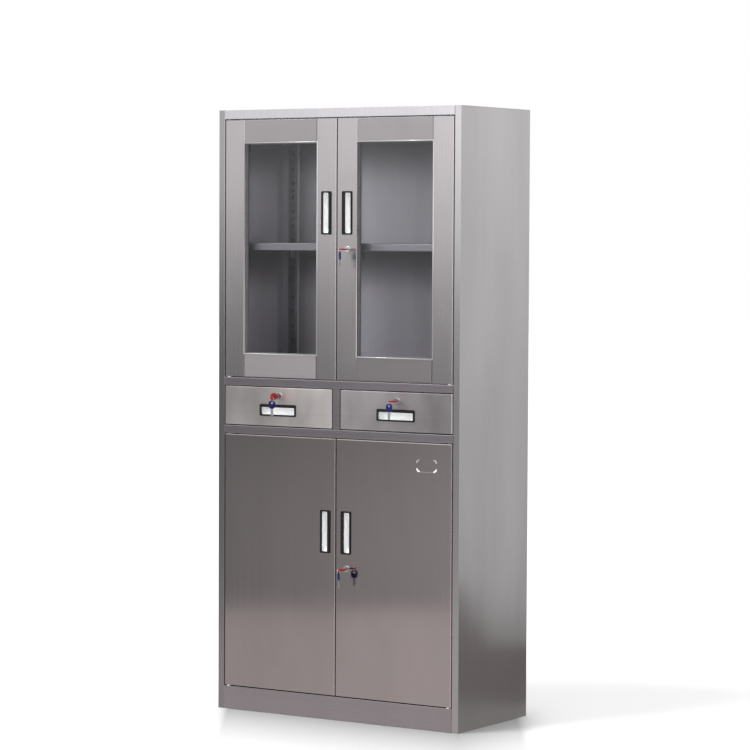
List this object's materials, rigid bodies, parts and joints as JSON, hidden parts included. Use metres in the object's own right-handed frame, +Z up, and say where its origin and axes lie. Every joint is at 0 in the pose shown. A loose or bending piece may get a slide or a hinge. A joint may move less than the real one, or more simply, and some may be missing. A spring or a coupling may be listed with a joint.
{
  "type": "instrument cabinet",
  "caption": "Tall brushed stainless steel instrument cabinet: glazed doors above lockable drawers and a closed lower cupboard with recessed handles and keys.",
  "frame": {"origin": "on the floor, midway between the side panels and between the carcass's front and back", "axes": "+Z up, -Y out of the front (doors and drawers), +X to the viewer's right"},
  "size_m": [0.85, 0.4395, 1.8],
  "materials": {
    "carcass_steel": "fine vertical brushing",
    "front_steel": "fine brushing",
    "inner_steel": "mill finish",
    "zinc_steel": "bright zinc",
    "clear_glass": "clear float glass",
    "seal_rubber": "matt black",
    "bezel_plastic": "satin black",
    "dish_steel": "bright plated",
    "lock_chrome": "polished",
    "key_plastic": "glossy red",
    "spare_key_plastic": "glossy blue",
    "nylon_white": "natural nylon",
    "catch_plastic": "light grey"
  },
  "bodies": {
    "carcass": {"side_panel_left": "carcass_steel", "side_panel_right": "carcass_steel", "top_panel": "carcass_steel", "back_panel": "inner_steel", "bottom_panel": "carcass_steel", "base_stiffener": "carcass_steel", "upper_deck": "carcass_steel", "lower_deck": "carcass_steel", "drawer_divider": "carcass_steel", "shelf_posts": "inner_steel", "shelf_clips": "inner_steel", "shelves": "inner_steel", "hinge_pins": "zinc_steel", "hinge_washers": "nylon_white", "door_catches": "catch_plastic", "runner_outer_rails": "zinc_steel"},
    "upper_left_door": {"upper_left_door_frame": "front_steel", "upper_left_glass": "clear_glass", "upper_left_glazing_seal": "seal_rubber", "upper_left_handle_bezel": "bezel_plastic", "upper_left_handle_dish": "dish_steel"},
    "lower_left_door": {"lower_left_door_skin": "front_steel", "lower_left_handle_bezel": "bezel_plastic", "lower_left_handle_dish": "dish_steel"},
    "left_drawer": {"left_drawer_front": "front_steel", "left_drawer_tray": "inner_steel", "left_drawer_inner_rails": "zinc_steel", "left_drawer_handle_bezel": "bezel_plastic", "left_drawer_handle_dish": "dish_steel", "left_drawer_lock_barrel": "lock_chrome"},
    "left_runner_middle": {"left_drawer_middle_rails": "zinc_steel"},
    "upper_right_door": {"upper_right_door_frame": "front_steel", "upper_right_glass": "clear_glass", "upper_right_glazing_seal": "seal_rubber", "upper_right_handle_bezel": "bezel_plastic", "upper_right_handle_dish": "dish_steel", "upper_door_lock_barrel": "lock_chrome"},
    "lower_right_door": {"lower_right_door_skin": "front_steel", "lower_right_handle_bezel": "bezel_plastic", "lower_right_handle_dish": "dish_steel", "lower_door_lock_barrel": "lock_chrome"},
    "right_drawer": {"right_drawer_front": "front_steel", "right_drawer_tray": "inner_steel", "right_drawer_inner_rails": "zinc_steel", "right_drawer_handle_bezel": "bezel_plastic", "right_drawer_handle_dish": "dish_steel", "right_drawer_lock_barrel": "lock_chrome"},
    "right_runner_middle": {"right_drawer_middle_rails": "zinc_steel"},
    "upper_door_cam": {"upper_door_lock_plug": "zinc_steel"},
    "upper_door_inserted_key": {"upper_door_key": "key_plastic"},
    "upper_door_hanging_key": {"upper_door_spare_key": "spare_key_plastic"},
    "lower_door_cam": {"lower_door_lock_plug": "zinc_steel"},
    "lower_door_inserted_key": {"lower_door_key": "key_plastic"},
    "lower_door_hanging_key": {"lower_door_spare_key": "spare_key_plastic"},
    "left_drawer_cam": {"left_drawer_lock_plug": "zinc_steel"},
    "left_drawer_inserted_key": {"left_drawer_key": "key_plastic"},
    "left_drawer_hanging_key": {"left_drawer_spare_key": "spare_key_plastic"},
    "right_drawer_cam": {"right_drawer_lock_plug": "zinc_steel"},
    "right_drawer_inserted_key": {"right_drawer_key": "key_plastic"},
    "right_drawer_hanging_key": {"right_drawer_spare_key": "spare_key_plastic"}
  },
  "joints": [
    {"name": "upper_left_door_hinge", "type": "hinge", "parent": "carcass", "child": "upper_left_door", "pos_m": [-0.3885, -0.188, 1.002], "axis": [0, 0, -1], "range_deg": [0, 110]},
    {"name": "upper_right_door_hinge", "type": "hinge", "parent": "carcass", "child": "upper_right_door", "pos_m": [0.3885, -0.188, 1.002], "axis": [0, 0, 1], "range_deg": [0, 110]},
    {"name": "lower_left_door_hinge", "type": "hinge", "parent": "carcass", "child": "lower_left_door", "pos_m": [-0.3885, -0.188, 0.07], "axis": [0, 0, -1], "range_deg": [0, 110]},
    {"name": "lower_right_door_hinge", "type": "hinge", "parent": "carcass", "child": "lower_right_door", "pos_m": [0.3885, -0.188, 0.07], "axis": [0, 0, 1], "range_deg": [0, 110]},
    {"name": "left_drawer_slide", "type": "slide", "parent": "carcass", "child": "left_drawer", "axis": [0, -1, 0], "range_m": [0, 0.28]},
    {"name": "left_runner_slide", "type": "slide", "parent": "carcass", "child": "left_runner_middle", "axis": [0, -1, 0], "range_m": [0, 0.14]},
    {"name": "right_drawer_slide", "type": "slide", "parent": "carcass", "child": "right_drawer", "axis": [0, -1, 0], "range_m": [0, 0.28]},
    {"name": "right_runner_slide", "type": "slide", "parent": "carcass", "child": "right_runner_middle", "axis": [0, -1, 0], "range_m": [0, 0.14]},
    {"name": "upper_door_lock_turn", "type": "hinge", "parent": "upper_right_door", "child": "upper_door_cam", "pos_m": [0.039, -0.195, 1.3875], "axis": [0, 1, 0], "range_deg": [0, 90]},
    {"name": "upper_door_key_pull", "type": "slide", "parent": "upper_door_cam", "child": "upper_door_inserted_key", "axis": [0, -1, 0], "range_m": [0, 0.03]},
    {"name": "upper_door_spare_swing", "type": "hinge", "parent": "upper_door_inserted_key", "child": "upper_door_hanging_key", "pos_m": [0.039, -0.2365, 1.3905], "axis": [0, 1, 0], "range_deg": [-20, 20]},
    {"name": "lower_door_lock_turn", "type": "hinge", "parent": "lower_right_door", "child": "lower_door_cam", "pos_m": [0.039, -0.195, 0.4505], "axis": [0, 1, 0], "range_deg": [0, 90]},
    {"name": "lower_door_key_pull", "type": "slide", "parent": "lower_door_cam", "child": "lower_door_inserted_key", "axis": [0, -1, 0], "range_m": [0, 0.03]},
    {"name": "lower_door_spare_swing", "type": "hinge", "parent": "lower_door_inserted_key", "child": "lower_door_hanging_key", "pos_m": [0.039, -0.2365, 0.4535], "axis": [0, 1, 0], "range_deg": [-20, 20]},
    {"name": "left_drawer_lock_turn", "type": "hinge", "parent": "left_drawer", "child": "left_drawer_cam", "pos_m": [-0.20375, -0.195, 0.95], "axis": [0, -1, 0], "range_deg": [0, 90]},
    {"name": "left_drawer_key_pull", "type": "slide", "parent": "left_drawer_cam", "child": "left_drawer_inserted_key", "axis": [0, -1, 0], "range_m": [0, 0.03]},
    {"name": "left_drawer_spare_swing", "type": "hinge", "parent": "left_drawer_inserted_key", "child": "left_drawer_hanging_key", "pos_m": [-0.20375, -0.2315, 0.9479], "axis": [1, 0, 0], "range_deg": [-15, 15]},
    {"name": "right_drawer_lock_turn", "type": "hinge", "parent": "right_drawer", "child": "right_drawer_cam", "pos_m": [0.21175, -0.195, 0.95], "axis": [0, -1, 0], "range_deg": [0, 90]},
    {"name": "right_drawer_key_pull", "type": "slide", "parent": "right_drawer_cam", "child": "right_drawer_inserted_key", "axis": [0, -1, 0], "range_m": [0, 0.03]},
    {"name": "right_drawer_spare_swing", "type": "hinge", "parent": "right_drawer_inserted_key", "child": "right_drawer_hanging_key", "pos_m": [0.21175, -0.2365, 0.953], "axis": [0, 1, 0], "range_deg": [-20, 20]}
  ],
  "couplings": [
    {"joint": "left_runner_slide", "follows": "left_drawer_slide", "ratio": 0.5},
    {"joint": "right_runner_slide", "follows": "right_drawer_slide", "ratio": 0.5}
  ]
}
